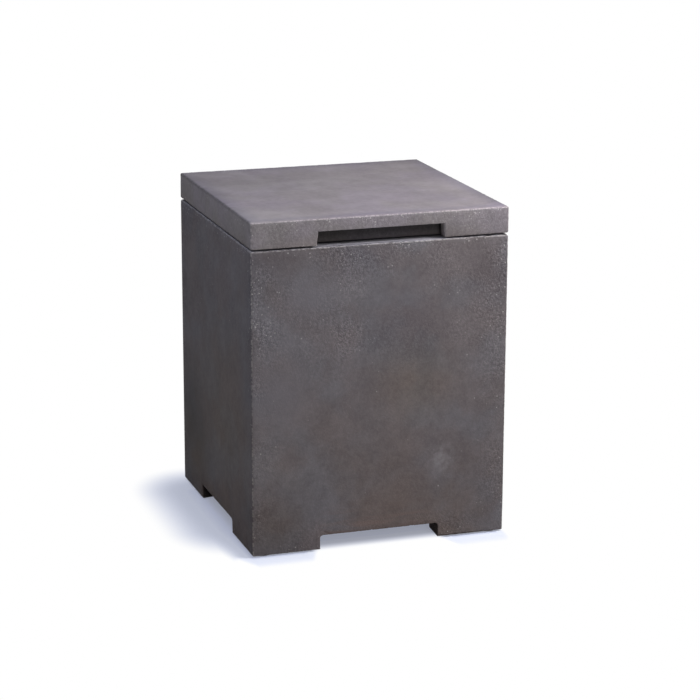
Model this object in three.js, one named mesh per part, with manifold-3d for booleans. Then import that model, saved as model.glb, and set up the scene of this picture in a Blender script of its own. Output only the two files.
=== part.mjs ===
// A propane tank cover table: a cast concrete shell that stands over an upright gas cylinder, and a cast concrete
// lid that lifts off it and serves as the table top. Millimetres, +Z up. The origin lies on the floor under the
// middle of the plan, and the front, with the finger slot in the lid, faces -Y.
import * as THREE from "three";
import Module from "manifold-3d";
import { mergeVertices } from "three/addons/utils/BufferGeometryUtils.js";

// Plan of the shell and the lid, which are cast to the same outline
const planWidth = 432;
const planDepth = 432;
const cornerRadius = 3;

// Shell: a thin skin between a thick rim band and a thick base band
const shellHeight = 502;
const skinThickness = 16;
const bandThickness = 42;
const rimBandHeight = 38;
const baseBandHeight = 70;
const openingCornerRadius = 14;
const rimArrisRadius = 3;
const footArrisRadius = 2;

// Notches between the four feet
const frontNotchWidth = 203;
const sideNotchWidth = 187;
const notchHeight = 24;
const notchRoofRadius = 3;
const notchMouthRadius = 3;

// Lid: a slab with a thick edge, and a locating rib that drops into the mouth of the shell
const lidHeight = 43.5;
const lidSlabThickness = 19;
const lidTopArrisRadius = 2.5;
const lidUnderArrisRadius = 0.8;
const ribWidth = 14;
const ribDrop = 12;
const ribClearance = 3;
const roofFilletRadius = 6;

// Finger slot in the front edge of the lid
const slotWidth = 214;
const slotHeight = 23;
const slotDepth = 26;
const slotEndDraft = 2.5;

// Rubber bumpers that the lid sits on, glued into round recesses in the rim
const bumperDiameter = 20;
const bumperThickness = 4;
const bumperProud = 2.5;
const bumperEdgeRadius = 0.6;

// Rubber pads under the feet, glued into round recesses
const footPadDiameter = 32;
const footPadThickness = 5;
const footPadProud = 2;
const footPadEdgeRadius = 0.8;

// Fit and cutting allowances
const recessClearance = 0.3;
const cutOverrun = 10;
const leastCornerRadius = 0.2;

// Facets of the curved edges
const cornerSegments = 6;
const arrisSegments = 4;
const discSegments = 32;

// Sizes that follow from the ones above
const openingWidth = planWidth - 2 * bandThickness;
const openingDepth = planDepth - 2 * bandThickness;
const ribOuterWidth = openingWidth - 2 * ribClearance;
const ribOuterDepth = openingDepth - 2 * ribClearance;
const elbowX = (planWidth - bandThickness) / 2;
const elbowY = (planDepth - bandThickness) / 2;
const shellFloorZ = footPadProud;
const rimZ = shellFloorZ + shellHeight;
const lidUndersideZ = rimZ + bumperProud;
const quarterTurn = Math.PI / 2;

const manifoldLibrary = await Module();
manifoldLibrary.setup();

// Turns a closed three.js geometry into a solid that can be joined and cut.
function solidFrom(geometry) {
  const bare = geometry.clone();
  bare.deleteAttribute("normal");
  bare.deleteAttribute("uv");
  const merged = mergeVertices(bare);
  return new manifoldLibrary.Manifold(
    new manifoldLibrary.Mesh({
      numProp: 3,
      vertProperties: merged.attributes.position.array,
      triVerts: new Uint32Array(merged.index.array),
    }),
  );
}

// Turns a solid back into a three.js geometry.
function geometryFrom(solid) {
  const mesh = solid.getMesh();
  const geometry = new THREE.BufferGeometry();
  geometry.setAttribute("position", new THREE.BufferAttribute(mesh.vertProperties, 3));
  geometry.setIndex(new THREE.BufferAttribute(mesh.triVerts, 1));
  geometry.computeVertexNormals();
  return geometry;
}

// The outline of a rectangle with round corners, as points going round against the clock.
function outlinePoints(width, depth, radius) {
  const round = Math.max(radius, leastCornerRadius);
  const centreX = width / 2 - round;
  const centreY = depth / 2 - round;
  const signs = [
    [1, 1],
    [-1, 1],
    [-1, -1],
    [1, -1],
  ];
  const points = [];
  signs.forEach(([signX, signY], quarter) => {
    for (let step = 0; step <= cornerSegments; step++) {
      const angle = (quarter + step / cornerSegments) * quarterTurn;
      points.push([signX * centreX + round * Math.cos(angle), signY * centreY + round * Math.sin(angle)]);
    }
  });
  return points;
}

// A closed block built up from rounded rectangles, each drawn in from the full plan by its level's inset.
function stackedBlock(width, depth, radius, levels) {
  const positions = [];
  for (const { z, inset } of levels) {
    for (const [x, y] of outlinePoints(width - 2 * inset, depth - 2 * inset, radius - inset)) {
      positions.push(x, y, z);
    }
  }
  const ring = 4 * (cornerSegments + 1);
  const indices = [];
  for (let level = 0; level < levels.length - 1; level++) {
    for (let point = 0; point < ring; point++) {
      const next = (point + 1) % ring;
      const low = level * ring;
      const high = low + ring;
      indices.push(low + point, low + next, high + next);
      indices.push(low + point, high + next, high + point);
    }
  }
  const bottomCentre = positions.length / 3;
  positions.push(0, 0, levels[0].z);
  positions.push(0, 0, levels[levels.length - 1].z);
  const top = (levels.length - 1) * ring;
  for (let point = 0; point < ring; point++) {
    const next = (point + 1) % ring;
    indices.push(bottomCentre, next, point);
    indices.push(bottomCentre + 1, top + point, top + next);
  }
  const geometry = new THREE.BufferGeometry();
  geometry.setAttribute("position", new THREE.Float32BufferAttribute(positions, 3));
  geometry.setIndex(indices);
  return geometry;
}

// The levels of a block between two heights, with a round edge at its foot and another at its head.
function roundedLevels(bottomZ, topZ, bottomRadius, topRadius) {
  const levels = [];
  for (let step = 0; step <= arrisSegments; step++) {
    const angle = (step / arrisSegments) * quarterTurn;
    const rise = bottomRadius * (1 - Math.cos(angle));
    levels.push({ z: bottomZ + rise, inset: bottomRadius * (1 - Math.sin(angle)) });
  }
  for (let step = arrisSegments; step >= 0; step--) {
    const angle = (step / arrisSegments) * quarterTurn;
    const fall = topRadius * (1 - Math.cos(angle));
    levels.push({ z: topZ - fall, inset: topRadius * (1 - Math.sin(angle)) });
  }
  return levels;
}

// A block with square edges at its foot and head.
function plainBlock(width, depth, radius, bottomZ, topZ) {
  const levels = [
    { z: bottomZ, inset: 0 },
    { z: topZ, inset: 0 },
  ];
  return stackedBlock(width, depth, radius, levels);
}

// A flat round disc on z = 0 with a rounded lower and upper edge.
function disc(diameter, thickness, edgeRadius) {
  const points = [new THREE.Vector2(0, 0)];
  for (const { z, inset } of roundedLevels(0, thickness, edgeRadius, edgeRadius)) {
    points.push(new THREE.Vector2(diameter / 2 - inset, z));
  }
  points.push(new THREE.Vector2(0, thickness));
  return new THREE.LatheGeometry(points, discSegments).rotateX(quarterTurn);
}

// A cutter for a round recess, standing between two heights.
function recessCutter(diameter, bottomZ, topZ) {
  const radius = diameter / 2 + recessClearance;
  const geometry = new THREE.CylinderGeometry(radius, radius, topZ - bottomZ, discSegments);
  return geometry.rotateX(quarterTurn).translate(0, 0, (bottomZ + topZ) / 2);
}

// The four elbows of the plan, where the bumpers and the foot pads sit.
const elbows = [
  { name: "front_left", x: -elbowX, y: -elbowY },
  { name: "front_right", x: elbowX, y: -elbowY },
  { name: "back_left", x: -elbowX, y: elbowY },
  { name: "back_right", x: elbowX, y: elbowY },
];

// A cutter for the notch between two feet, lying along Y, that opens downwards with rounded lips.
function notchCutter(width, length) {
  const half = width / 2;
  const roof = notchHeight - notchRoofRadius;
  const lip = half + notchMouthRadius;
  const outline = new THREE.Shape();
  outline.moveTo(-lip, -cutOverrun);
  outline.lineTo(lip, -cutOverrun);
  outline.absarc(lip, notchMouthRadius, notchMouthRadius, 3 * quarterTurn, 2 * quarterTurn, true);
  outline.absarc(half - notchRoofRadius, roof, notchRoofRadius, 0, quarterTurn);
  outline.absarc(notchRoofRadius - half, roof, notchRoofRadius, quarterTurn, 2 * quarterTurn);
  outline.absarc(-lip, notchMouthRadius, notchMouthRadius, 0, -quarterTurn, true);
  const geometry = new THREE.ExtrudeGeometry(outline, {
    depth: length,
    bevelEnabled: false,
    curveSegments: cornerSegments,
  });
  return geometry.rotateX(quarterTurn).translate(0, length / 2, 0);
}

// The concrete shell: open at the top and the bottom, hollowed between its bands and notched between its feet.
function shellGeometry() {
  const outerLevels = roundedLevels(0, shellHeight, footArrisRadius, rimArrisRadius);
  let shell = solidFrom(stackedBlock(planWidth, planDepth, cornerRadius, outerLevels));

  const openingTopZ = shellHeight + cutOverrun;
  const opening = plainBlock(openingWidth, openingDepth, openingCornerRadius, -cutOverrun, openingTopZ);

  const runOut = bandThickness - skinThickness;
  const hollowTopZ = shellHeight - rimBandHeight;
  const hollowLevels = [
    { z: baseBandHeight, inset: runOut },
    { z: baseBandHeight + runOut, inset: 0 },
    { z: hollowTopZ - runOut, inset: 0 },
    { z: hollowTopZ, inset: runOut },
  ];
  const hollowWidth = openingWidth + 2 * runOut;
  const hollowDepth = openingDepth + 2 * runOut;
  const hollow = stackedBlock(hollowWidth, hollowDepth, openingCornerRadius + runOut, hollowLevels);

  const frontNotch = notchCutter(frontNotchWidth, planDepth + 2 * cutOverrun);
  const sideNotch = notchCutter(sideNotchWidth, planWidth + 2 * cutOverrun);
  sideNotch.rotateZ(quarterTurn);

  for (const cutter of [opening, hollow, frontNotch, sideNotch]) {
    shell = shell.subtract(solidFrom(cutter));
  }

  const bumperSeatZ = shellHeight + bumperProud - bumperThickness;
  const padSeatZ = footPadThickness - footPadProud;
  for (const { x, y } of elbows) {
    const bumperSeat = recessCutter(bumperDiameter, bumperSeatZ, shellHeight + cutOverrun);
    shell = shell.subtract(solidFrom(bumperSeat.translate(x, y, 0)));
    const padSeat = recessCutter(footPadDiameter, -cutOverrun, padSeatZ);
    shell = shell.subtract(solidFrom(padSeat.translate(x, y, 0)));
  }
  return geometryFrom(shell);
}

// A cutter for the finger slot, whose ends lean in towards its roof. Its mouth is on z = 0, its back wall on y = 0.
function slotCutter() {
  const halfMouth = slotWidth / 2;
  const halfRoof = halfMouth - slotEndDraft;
  const draftBelow = (slotEndDraft * cutOverrun) / slotHeight;
  const outline = new THREE.Shape();
  outline.moveTo(-halfMouth - draftBelow, -cutOverrun);
  outline.lineTo(halfMouth + draftBelow, -cutOverrun);
  outline.lineTo(halfRoof, slotHeight);
  outline.lineTo(-halfRoof, slotHeight);
  const geometry = new THREE.ExtrudeGeometry(outline, { depth: slotDepth + cutOverrun, bevelEnabled: false });
  return geometry.rotateX(quarterTurn);
}

// The concrete lid, with its underside on z = 0 and the locating rib below it.
function lidGeometry() {
  const slabLevels = roundedLevels(0, lidHeight, lidUnderArrisRadius, lidTopArrisRadius);
  const slab = stackedBlock(planWidth, planDepth, cornerRadius, slabLevels);

  const roofZ = lidHeight - lidSlabThickness;
  const ribCornerRadius = openingCornerRadius - ribClearance;
  const rib = plainBlock(ribOuterWidth, ribOuterDepth, ribCornerRadius, -ribDrop, roofZ);

  const hollowLevels = roundedLevels(-ribDrop - cutOverrun, roofZ, 0, roofFilletRadius);
  const hollowWidth = ribOuterWidth - 2 * ribWidth;
  const hollowDepth = ribOuterDepth - 2 * ribWidth;
  const hollow = stackedBlock(hollowWidth, hollowDepth, ribCornerRadius, hollowLevels);

  const slot = slotCutter();
  slot.translate(0, slotDepth - planDepth / 2, 0);

  const lid = solidFrom(slab).add(solidFrom(rib)).subtract(solidFrom(hollow)).subtract(solidFrom(slot));
  return geometryFrom(lid);
}

const shellMaterial = new THREE.MeshStandardMaterial({ color: 0x636062, roughness: 0.85, metalness: 0 });
const lidMaterial = new THREE.MeshStandardMaterial({ color: 0x777276, roughness: 0.7, metalness: 0 });
const rubberMaterial = new THREE.MeshStandardMaterial({ color: 0x1b1b1c, roughness: 0.9, metalness: 0 });

// A named mesh at a place.
function piece(name, geometry, material, x, y, z) {
  const mesh = new THREE.Mesh(geometry, material);
  mesh.name = name;
  mesh.position.set(x, y, z);
  return mesh;
}

const cover = new THREE.Group();
cover.add(piece("body_shell", shellGeometry(), shellMaterial, 0, 0, shellFloorZ));
cover.add(piece("lid", lidGeometry(), lidMaterial, 0, 0, lidUndersideZ));
for (const { name, x, y } of elbows) {
  const footPad = disc(footPadDiameter, footPadThickness, footPadEdgeRadius);
  cover.add(piece(`foot_pad_${name}`, footPad, rubberMaterial, x, y, 0));
  const bumper = disc(bumperDiameter, bumperThickness, bumperEdgeRadius);
  const bumperZ = lidUndersideZ - bumperThickness;
  cover.add(piece(`lid_bumper_${name}`, bumper, rubberMaterial, x, y, bumperZ));
}

export default cover;
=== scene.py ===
"""Looks of a propane tank cover table: two worn concrete castings on rubber pads, in a plain white studio."""

import logging
import math
from collections.abc import Callable, Sequence
from dataclasses import dataclass, field
from enum import Enum
from functools import cached_property
from typing import ClassVar

import bmesh
import bpy
from mathutils import Matrix, Vector


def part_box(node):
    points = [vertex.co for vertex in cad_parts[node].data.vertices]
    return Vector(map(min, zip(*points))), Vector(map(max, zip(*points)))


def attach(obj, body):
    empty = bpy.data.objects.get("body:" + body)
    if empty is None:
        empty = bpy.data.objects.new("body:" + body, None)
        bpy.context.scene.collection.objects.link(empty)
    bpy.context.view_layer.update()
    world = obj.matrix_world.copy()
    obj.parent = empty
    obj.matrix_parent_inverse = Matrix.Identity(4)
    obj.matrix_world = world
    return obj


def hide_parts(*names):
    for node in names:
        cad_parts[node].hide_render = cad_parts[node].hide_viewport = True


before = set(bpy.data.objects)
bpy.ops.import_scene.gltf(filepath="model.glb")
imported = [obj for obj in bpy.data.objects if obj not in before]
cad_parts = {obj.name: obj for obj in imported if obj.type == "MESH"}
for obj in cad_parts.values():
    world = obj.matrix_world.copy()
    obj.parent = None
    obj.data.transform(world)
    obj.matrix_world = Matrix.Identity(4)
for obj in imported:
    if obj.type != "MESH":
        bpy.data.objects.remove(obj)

MM = 0.001
TINY = 0.01 * MM
UP = Vector((0, 0, 1))
WHITE = "#ffffff"
log = logging.getLogger("cover")

# Half the width of the finger slot, which the lid has and both finishes know
SLOT_HALF = 107 * MM
# A face looks along an axis where its normal has at least this share of it
FACING = 0.9

Socket = bpy.types.NodeSocket
Test = Callable[[Vector, Vector], bool]
Pair = tuple[float, float]
Spots = tuple[tuple[float, float, float, float], ...]

# Settings that many nodes share
SMOOTH = {"interpolation_type": "SMOOTHSTEP"}
PLUS = {"operation": "ADD"}
MINUS = {"operation": "SUBTRACT"}
TIMES = {"operation": "MULTIPLY"}
TIMES_PLUS = {"operation": "MULTIPLY_ADD"}
LEAST = {"operation": "MINIMUM"}
MOST = {"operation": "MAXIMUM"}
BELOW = {"operation": "LESS_THAN"}
COVER = {"data_type": "RGBA"}
TINT = {"data_type": "RGBA", "blend_type": "MULTIPLY"}


class Element(Enum):
    """What a selection in edit mode is made of."""

    EDGE = "EDGE"
    FACE = "FACE"


class Casting(Enum):
    """The two concrete castings, by the name of the part that each one stands for."""

    SHELL = "body_shell"
    LID = "lid"


class Way(Enum):
    """What a mask can rise along: an axis, a distance from the middle of the plan, or the larger of those."""

    RIGHT = 0
    BACK = 1
    UP = 2
    ASIDE = 3
    AHEAD = 4
    OUT = 5


def linear(code: str) -> tuple[float, float, float, float]:
    """Turns an sRGB hex colour into linear light.

    Args:
        code: six hex digits, with or without a leading hash sign.

    Returns:
        Red, green, blue and an alpha of one.
    """
    parts = [int(code.lstrip("#")[i : i + 2], 16) / 255 for i in (0, 2, 4)]
    red, green, blue = [p / 12.92 if p <= 0.04045 else ((p + 0.055) / 1.055) ** 2.4 for p in parts]
    return red, green, blue, 1.0


def per_metre(millimetres: float) -> float:
    """Returns the texture scale that makes a pattern's features this many millimetres wide."""
    return 1.0 / (millimetres * MM)


def deselect_all() -> None:
    if bpy.context.object is not None and bpy.context.object.mode != "OBJECT":
        bpy.ops.object.mode_set(mode="OBJECT")
    bpy.ops.object.select_all(action="DESELECT")


@dataclass(frozen=True)
class Wear:
    """Worn spots along an edge: how deep and how long they are, and the noise values that bound them.

    All of the depth comes off where the noise, from zero to one, is below worn, and none above whole.
    """

    depth: float
    length: float
    worn: float
    whole: float


@dataclass
class Workpiece:
    """A block that is shaped by hand into a finished piece."""

    name: str
    piece: bpy.types.Object | None = None
    arrises: str = "arris"
    smooth_below: float = 32.0
    bent_from: float = 4.0

    def start_block(self, low: Vector, high: Vector) -> None:
        """Adds the block that the piece is cut from.

        Args:
            low: its lowest corner, in metres.
            high: its highest corner, in metres.
        """
        deselect_all()
        bpy.ops.mesh.primitive_cube_add(size=1.0)
        self._adopt((low + high) / 2, high - low)

    def start_disc(self, middle: Vector, radius: float, height: float, sides: int = 32) -> None:
        """Adds the upright disc that the piece is cut from.

        Args:
            middle: its middle point, in metres.
            radius: its radius.
            height: its height.
            sides: how many sides the circle has.
        """
        deselect_all()
        bpy.ops.mesh.primitive_cylinder_add(vertices=sides, radius=radius, depth=height)
        self._adopt(middle, Vector((1, 1, 1)))

    def _adopt(self, place: Vector, scale: Vector) -> None:
        """Takes the primitive just added, puts it in its place and applies that place to its mesh.

        Args:
            place: where its middle goes.
            scale: what its three sizes are multiplied by.
        """
        self.piece = bpy.context.object
        self.piece.name = self.name
        self.piece.data.name = self.name
        self.piece.location = place
        self.piece.scale = scale
        bpy.ops.object.transform_apply(location=True, rotation=True, scale=True)

    def pick(self) -> None:
        """Selects this piece alone."""
        deselect_all()
        bpy.context.view_layer.objects.active = self.piece
        self.piece.select_set(True)

    def edit(self, element: Element) -> bmesh.types.BMesh:
        """Opens the piece in edit mode with nothing on it selected.

        Args:
            element: what the coming selection is made of.

        Returns:
            The open mesh.
        """
        self.pick()
        bpy.ops.object.mode_set(mode="EDIT")
        bpy.ops.mesh.select_mode(type=element.value)
        bpy.ops.mesh.select_all(action="DESELECT")
        return bmesh.from_edit_mesh(self.piece.data)

    def _select(self, chosen: Sequence) -> int:
        """Selects faces or edges of the open mesh.

        Args:
            chosen: the faces or the edges.

        Returns:
            How many they are.
        """
        for part in chosen:
            part.select_set(True)
        bmesh.update_edit_mesh(self.piece.data)
        return len(chosen)

    def choose_faces(self, test: Test) -> int:
        """Selects faces by their place.

        Args:
            test: takes a face's middle and its normal, and says whether it is wanted.

        Returns:
            How many faces were selected.
        """
        mesh = self.edit(Element.FACE)
        return self._select([face for face in mesh.faces if test(face.calc_center_median(), face.normal)])

    def round_edges(self, test: Test, radius: float, segments: int, sharper_than: float = 0.0) -> None:
        """Rounds edges, chosen by their place.

        Args:
            test: takes an edge's two ends and says whether it is wanted.
            radius: the rounding's radius.
            segments: how many flats it is made of.
            sharper_than: the least angle in degrees between the two faces at the edge.
        """
        mesh = self.edit(Element.EDGE)
        least = math.radians(sharper_than)
        self._select([
            edge
            for edge in mesh.edges
            if test(edge.verts[0].co, edge.verts[1].co) and edge.calc_face_angle(math.pi) >= least
        ])
        bpy.ops.mesh.bevel(offset=radius, segments=segments, affect="EDGES", profile=0.5)

    def extrude(self, rise: float, widen: float = 1.0) -> None:
        """Extrudes the selected face up or down and scales it about the middle of the plan.

        Args:
            rise: how far it goes up.
            widen: what its width is multiplied by.
        """
        bpy.ops.mesh.extrude_region_move(TRANSFORM_OT_translate={"value": (0, 0, rise)})
        if widen != 1.0:
            bpy.ops.transform.resize(value=(widen, widen, 1), center_override=(0, 0, 0))

    def slice(self, test: Test, point: Vector, normal: Vector) -> None:
        """Cuts chosen faces in two along a plane.

        Args:
            test: which faces, as for choose_faces.
            point: a point on the plane.
            normal: the plane's normal.
        """
        if self.choose_faces(test):
            bpy.ops.mesh.bisect(plane_co=point, plane_no=normal, threshold=TINY)

    def ladder(self, test: Test, step: float) -> None:
        """Divides chosen long edges, and the narrow faces between them, into even steps.

        Args:
            test: which edges, as for round_edges.
            step: about how long each division is.
        """
        mesh = self.edit(Element.EDGE)
        chosen = [edge for edge in mesh.edges if test(edge.verts[0].co, edge.verts[1].co)]
        if self._select(chosen):
            cuts = max(1, round(max(edge.calc_length() for edge in chosen) / step) - 1)
            bpy.ops.mesh.subdivide(number_cuts=cuts)

    def modify(self, kind: str, **settings: object) -> None:
        """Adds a modifier with its settings and applies it.

        Args:
            kind: the modifier's type, in capitals.
            settings: its settings, by name.
        """
        self.pick()
        modifier = self.piece.modifiers.new(kind.lower(), kind)
        for key, value in settings.items():
            setattr(modifier, key, value)
        bpy.ops.object.modifier_apply(modifier=modifier.name)

    def cut_with(self, cutter: "Workpiece") -> None:
        """Cuts another workpiece out of this one and throws the cutter away.

        Args:
            cutter: the workpiece that is used up.
        """
        self.modify("BOOLEAN", operation="DIFFERENCE", solver="EXACT", object=cutter.piece)
        spent = cutter.piece.data
        bpy.data.objects.remove(cutter.piece)
        bpy.data.meshes.remove(spent)

    def mark_arrises(self, outside: Callable[[Vector], bool]) -> None:
        """Puts every point on a rounded outside edge into the vertex group of the arrises.

        Args:
            outside: whether a point is on the outside of the piece.
        """
        deselect_all()
        group = self.piece.vertex_groups.new(name=self.arrises)
        mesh = bmesh.new()
        mesh.from_mesh(self.piece.data)
        mesh.normal_update()
        for vertex in mesh.verts:
            normals = [face.normal for face in vertex.link_faces]
            bent = any(normals[0].angle(other, 0.0) > math.radians(self.bent_from) for other in normals[1:])
            if bent and outside(vertex.co):
                group.add([vertex.index], 1.0, "REPLACE")
        mesh.free()

    def wear(self, wear: Wear) -> None:
        """Takes a little off the marked arrises, unevenly, as handling and demoulding do.

        Args:
            wear: how much comes off, and where.
        """
        texture = bpy.data.textures.new(f"{self.name} wear", type="CLOUDS")
        texture.noise_scale = wear.length
        texture.noise_depth = 2
        texture.use_color_ramp = True
        ends = texture.color_ramp.elements
        ends[0].position, ends[0].color = wear.worn, (0, 0, 0, 1)
        ends[1].position, ends[1].color = wear.whole, (1, 1, 1, 1)
        self.modify(
            "DISPLACE", texture=texture, texture_coords="LOCAL", direction="NORMAL", mid_level=1.0,
            strength=wear.depth, vertex_group=self.arrises,
        )

    def finish(self) -> None:
        """Closes the mesh, turns its faces outwards and shades it smooth up to its real edges."""
        self.edit(Element.FACE)
        bpy.ops.mesh.select_all(action="SELECT")
        bpy.ops.mesh.remove_doubles(threshold=TINY)
        bpy.ops.mesh.normals_make_consistent(inside=False)
        self.pick()
        bpy.ops.object.shade_smooth_by_angle(angle=math.radians(self.smooth_below))
        deselect_all()


@dataclass(frozen=True)
class Finish:
    """A finish drawn with shader nodes, in object coordinates."""

    name: str
    output: ClassVar[str] = "OutputMaterial"

    @cached_property
    def holder(self) -> bpy.types.Material | bpy.types.World:
        """The material that holds the nodes."""
        return bpy.data.materials.new(self.name)

    @cached_property
    def tree(self) -> bpy.types.NodeTree:
        """The node tree, cleared of what Blender puts in it."""
        self.holder.use_nodes = True
        self.holder.node_tree.nodes.clear()
        return self.holder.node_tree

    def add(self, kind: str, inputs: Sequence | dict = (), settings: dict | None = None) -> Socket:
        """Adds one shader node.

        Args:
            kind: the node's type name, without the ShaderNode that they all begin with.
            inputs: values, hex colours or other nodes' sockets, by name or in the order of its own sockets.
            settings: properties of the node, by name.

        Returns:
            The first output that the node uses, or its first input where it has no output.
        """
        node = self.tree.nodes.new(f"ShaderNode{kind}")
        for key, value in (settings or {}).items():
            setattr(node, key, value)
        shown = [socket for socket in node.inputs if socket.enabled]
        for key, value in inputs.items() if isinstance(inputs, dict) else enumerate(inputs):
            socket = shown[key] if isinstance(key, int) else next(s for s in shown if s.name == key)
            if isinstance(value, Socket):
                self.tree.links.new(value, socket)
            else:
                socket.default_value = linear(value) if isinstance(value, str) else value
        return next(s for s in (*node.outputs, *node.inputs) if s.enabled)

    @cached_property
    def place(self) -> Socket:
        """The object coordinates."""
        return self.add("TexCoord").node.outputs["Object"]

    @cached_property
    def ways(self) -> list[Socket]:
        """The three coordinates and the distances from the middle, in the order of Way."""
        axes = list(self.add("SeparateXYZ", (self.place,)).node.outputs)
        sizes = [self.add("Math", (axis,), {"operation": "ABSOLUTE"}) for axis in axes[:2]]
        return [*axes, *sizes, self.add("Math", sizes, MOST)]

    def build(self) -> bpy.types.Material | bpy.types.World:
        """Draws the finish, and returns what holds it."""
        self.add(self.output, {"Surface": self.surface()})
        return self.holder

    def surface(self) -> Socket:
        """Draws the nodes up to the shader, which it returns; each finish has its own."""
        raise NotImplementedError

    def overlap(self, *masks: Socket | float) -> Socket | float:
        """Finds where several masks overlap, by multiplying them.

        Args:
            masks: the masks, or numbers that weaken them.

        Returns:
            Their product.
        """
        shared, *others = masks
        for other in others:
            shared = self.add("Math", (shared, other), TIMES)
        return shared


@dataclass(frozen=True)
class Pattern:
    """Soft uneven patches: their width, which drawing of them, and the noise where one begins and is full."""

    width_mm: float
    drawing: float
    begins: float
    full: float


@dataclass(frozen=True)
class Blots:
    """Soft round spots of another tint, each with its middle and radius in metres.

    The tint multiplies the colour under it, or covers it.
    """

    spots: Spots
    tint: str
    share: float = 1.0
    covers: bool = False


@dataclass(frozen=True)
class CastConcrete(Finish):
    """Glass fibre reinforced concrete, pigmented grey and cast against a smooth mould.

    The mould leaves a thin bluish film of cement paste. Where the film is rubbed or washed off, mostly near
    the arrises, the fine sand shows: browner, rougher, with pale grains. Pairs called shares are heights, as
    shares of the casting's own.
    """

    half_width: float
    bottom: float
    top: float
    seed: float = 0.0
    film: str = "#69666a"
    sand: str = "#686264"
    warm: str = "#665c59"
    worn: str = "#a8a3a1"
    pale_grain: str = "#bab6b4"
    sandy: Pattern = Pattern(75.0, 5.0, 0.38, 0.62)
    warmed: Pattern = Pattern(150.0, 12.4, 0.40, 0.62)
    cloudy: Pattern = Pattern(42.0, 7.7, 0.25, 0.75)
    mottled: Pattern = Pattern(9.0, 50.0, 0.2, 0.8)
    warm_shares: Pair = (0.55, 0.05)
    warm_low_down: float = 0.8
    warm_everywhere: float = 0.15
    shades: Pair = (0.81, 1.19)
    opened: Pattern = Pattern(75.0, 0.0, 0.40, 0.60)
    open_shares: Pair = (0.48, 0.86)
    open_everywhere: float = 0.16
    open_above: float = 0.45
    open_beside: float = 0.62
    open_beside_mm: float = 60.0
    open_between: float = 0.05
    # Painted shade on the left wall: how much bared sand that wall keeps
    left_wall: Pair = (1 * MM, 4 * MM)
    left_sand_in_shade: float = 0.4
    speck_mm: float = 3.6
    speck_core: float = 0.05
    speck_radii: Pair = (0.22, 0.46)
    speck_beside_mm: float = 24.0
    clusters: Pattern = Pattern(38.0, 33.0, 0.44, 0.60)
    cluster_from: float = 0.1
    cluster_limit: float = 0.60
    handled_shares: Pair = (0.25, 0.6)
    handled: Pair = (0.3, 1.15)
    crowded: float = 0.42
    speck_strength: Pair = (0.5, 0.95)
    strokes: Pattern = Pattern(4.0, 21.0, 0.42, 0.58)
    worn_mm: float = 3.4
    worn_strength: Pair = (0.855, 0.95)
    grain_mm: float = 4.6
    grain_relief: Pair = (0.38, 0.74)
    grain_noise: Pair = (0.32, 0.70)
    grain_light: Pair = (-0.30, 0.52)
    closed_share: float = 0.97
    smeared: Pattern = Pattern(60.0, 31.0, 0.3, 0.7)
    satin: Pair = (0.42, 0.54)
    roughness: Pair = (0.60, 0.88)
    gloss: float = 0.04
    ior: float = 1.5
    grit: float = 0.6 * MM
    grit_strength: Pair = (0.05, 0.95)
    waves: float = 1.0 * MM
    wave_strength: float = 0.2

    def _patches(self, pattern: Pattern, place: Socket | None = None) -> Socket:
        """Draws soft uneven patches.

        Args:
            pattern: which patches.
            place: the coordinates, where they aren't the object's own.

        Returns:
            A mask from zero to one.
        """
        scale = per_metre(pattern.width_mm)
        noise = self.add(
            "TexNoise",
            {"Vector": place or self.place, "W": self.seed + pattern.drawing, "Scale": scale, "Detail": 4.0,
             "Distortion": 0.3},
            {"noise_dimensions": "4D"},
        )
        return self.add("MapRange", (noise, pattern.begins, pattern.full), SMOOTH)

    def _along(self, way: Way, origin: float, rise: Pair) -> Socket:
        """Makes a mask that rises along a way.

        Args:
            way: which way.
            origin: where the distances along it are counted from.
            rise: the distances at which the mask begins and is full, in either order.

        Returns:
            A mask from zero to one.
        """
        return self.add("MapRange", (self.ways[way.value], origin + rise[0], origin + rise[1]), SMOOTH)

    def _up(self, shares: Pair) -> Socket:
        """Makes a mask that rises between two shares of the casting's height."""
        tall = self.top - self.bottom
        return self._along(Way.UP, self.bottom, (shares[0] * tall, shares[1] * tall))

    @cached_property
    def _arris_away(self) -> Socket:
        """How far a point lies from the nearest outside arris: the middle one of its three depths."""
        _, _, up, *sizes, _ = self.ways
        depths = [self.add("Math", (self.half_width, size), MINUS) for size in sizes]
        below = self.add("Math", (self.top, up), MINUS)
        above = self.add("Math", (up, self.bottom), MINUS)
        level = self.add("Math", (below, above), LEAST)
        other = self.add("Math", (self.add("Math", depths, MOST), level), LEAST)
        return self.add("Math", (self.add("Math", depths, LEAST), other), MOST)

    def _near_arris(self, reach: float) -> Socket:
        """Makes a mask that is one on an outside arris and fades out this many millimetres from it."""
        return self.add("MapRange", (self._arris_away, reach * MM, 0.0), SMOOTH)

    def _spots(self, where: Spots) -> Socket:
        """Finds round spots on the casting.

        Args:
            where: the middle and the radius of each spot, in metres.

        Returns:
            A mask that fades from one in the middle of a spot.
        """
        spots = 0.0
        for *middle, radius in where:
            away = self.add("VectorMath", (self.place, middle), {"operation": "DISTANCE"})
            spot = self.add("MapRange", (away, radius, 0.0), SMOOTH)
            spots = self.add("Math", (spots, spot), MOST)
        return spots

    def _blotted(self, colour: Socket, *blots: Blots, where: Socket | float = 1.0) -> Socket:
        """Lays blots of other tints over a colour.

        Args:
            colour: the colour so far.
            blots: the blots.
            where: a mask that bounds them.

        Returns:
            The colour with the blots.
        """
        for blot in blots:
            share = self.overlap(self._spots(blot.spots), blot.share, where)
            colour = self.add("Mix", (share, colour, blot.tint), COVER if blot.covers else TINT)
        return colour

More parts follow.
